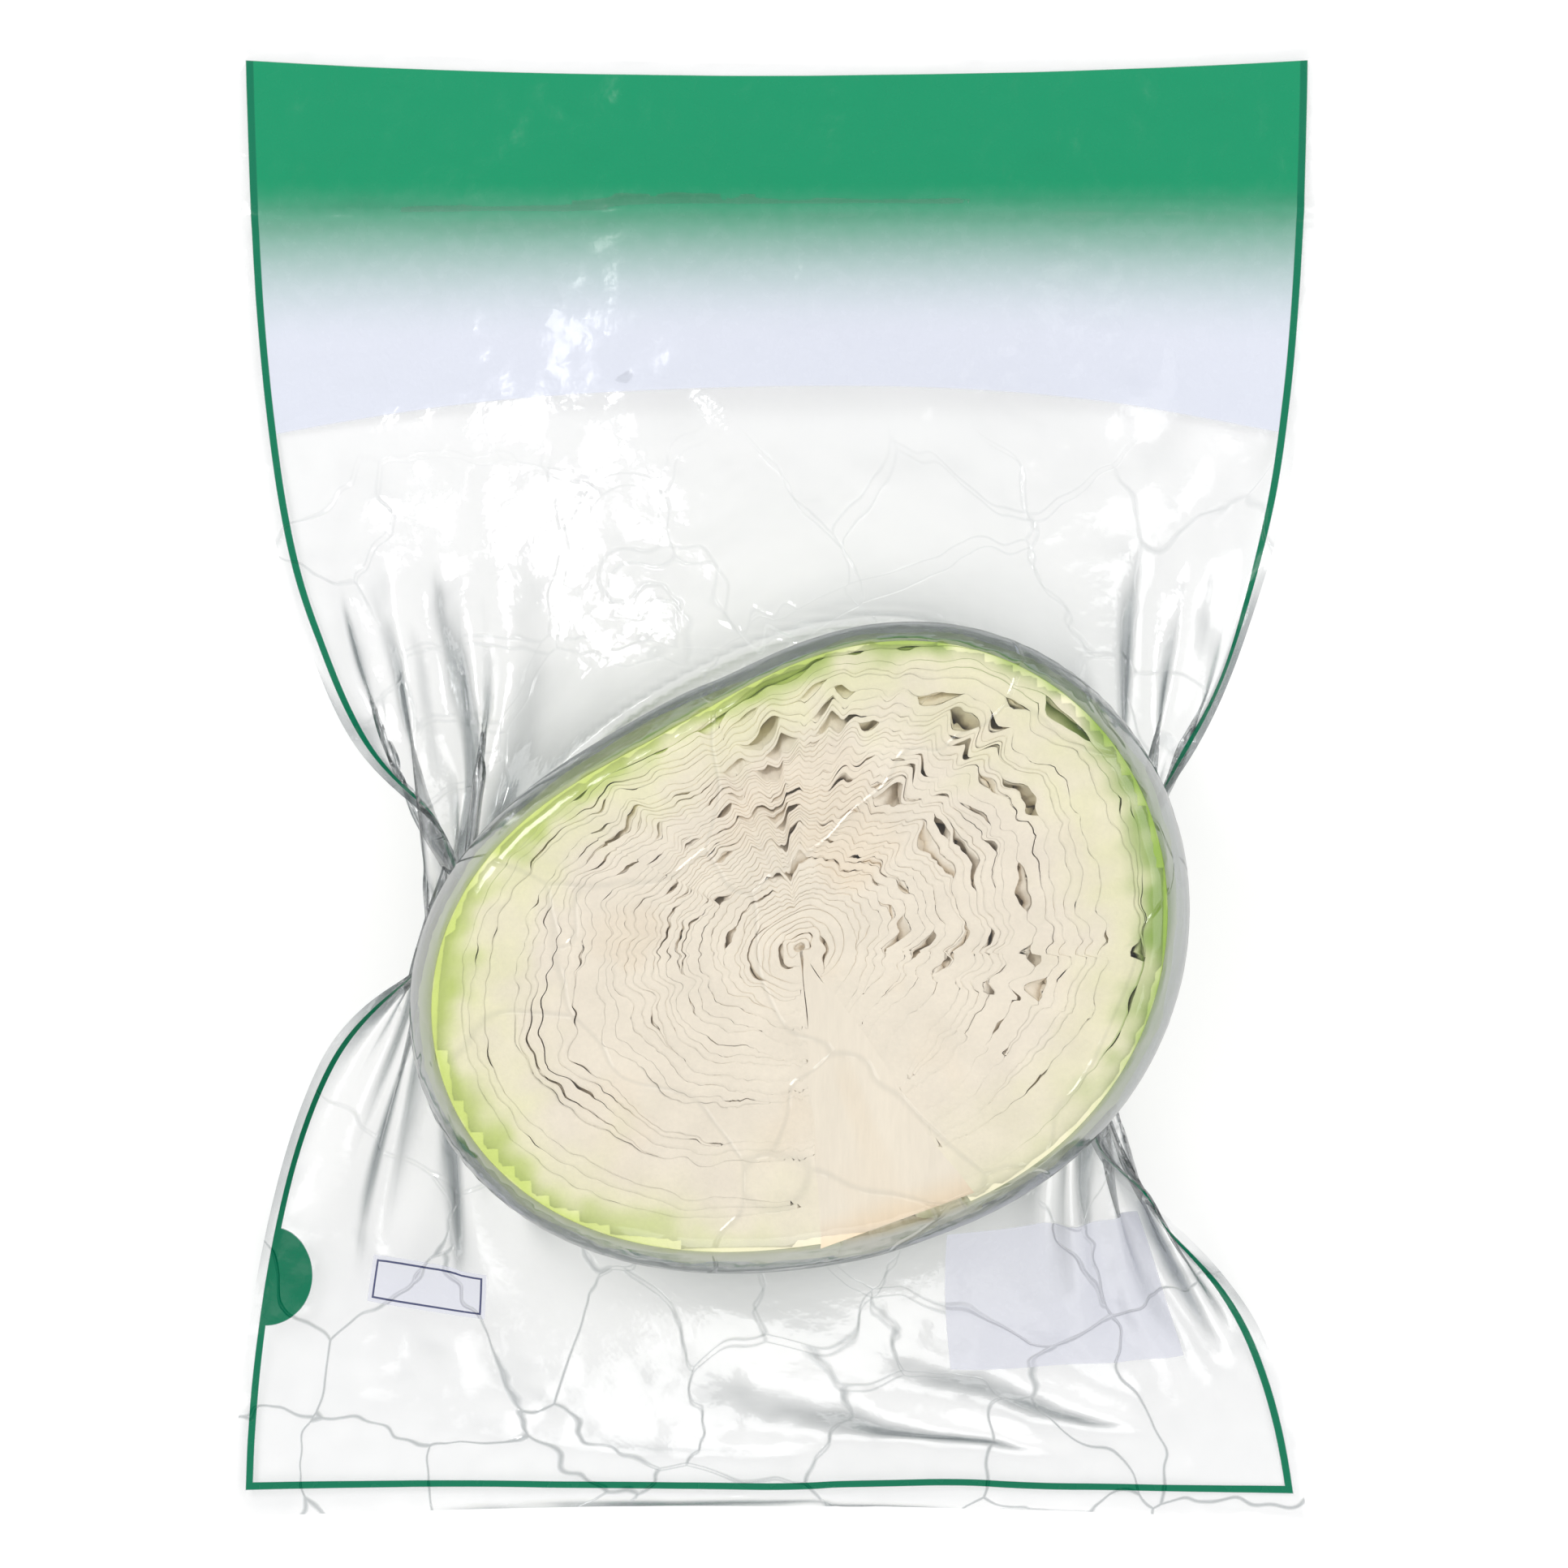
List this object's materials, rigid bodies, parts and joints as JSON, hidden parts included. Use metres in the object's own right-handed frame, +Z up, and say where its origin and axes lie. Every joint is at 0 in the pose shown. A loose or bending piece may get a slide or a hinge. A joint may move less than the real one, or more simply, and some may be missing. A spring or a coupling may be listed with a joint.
{
  "type": "white cabbage half in a clear vacuum bag",
  "caption": "Half a white cabbage, cut through its core, sealed cut face up in a clear vacuum bag with a green header band.",
  "frame": {"origin": "middle of the bag's outline, on the surface that it lies on", "axes": "+Z up, square to the cut face; +Y along the bag from its bottom seal to its header"},
  "size_m": [0.2888, 0.4, 0.0934],
  "materials": {
    "core": "satin",
    "inner_leaf": "satin",
    "outer_leaf": "satin",
    "film": "gloss"
  },
  "bodies": {
    "root": {"core": "core", "heart": "inner_leaf", "leaf_01": "inner_leaf", "leaf_02": "inner_leaf", "leaf_03": "inner_leaf", "leaf_04": "inner_leaf", "leaf_05": "inner_leaf", "leaf_06": "inner_leaf", "leaf_07": "inner_leaf", "leaf_08": "inner_leaf", "leaf_09": "inner_leaf", "leaf_10": "inner_leaf", "leaf_11": "inner_leaf", "leaf_12": "inner_leaf", "leaf_13": "inner_leaf", "leaf_14": "inner_leaf", "leaf_15": "inner_leaf", "leaf_16": "inner_leaf", "leaf_17": "inner_leaf", "leaf_18": "inner_leaf", "leaf_19": "inner_leaf", "leaf_20": "inner_leaf", "leaf_21": "inner_leaf", "leaf_22": "inner_leaf", "leaf_23": "inner_leaf", "leaf_24": "inner_leaf", "leaf_25": "inner_leaf", "leaf_26": "inner_leaf", "leaf_27": "inner_leaf", "leaf_28": "inner_leaf", "leaf_29": "inner_leaf", "leaf_30": "inner_leaf", "leaf_31": "inner_leaf", "leaf_32": "inner_leaf", "leaf_33": "inner_leaf", "leaf_34": "inner_leaf", "leaf_35": "outer_leaf", "leaf_36": "outer_leaf", "leaf_37": "outer_leaf", "leaf_38": "outer_leaf", "leaf_39": "outer_leaf", "leaf_40": "outer_leaf", "back_film": "film", "front_film": "film"}
  },
  "joints": []
}
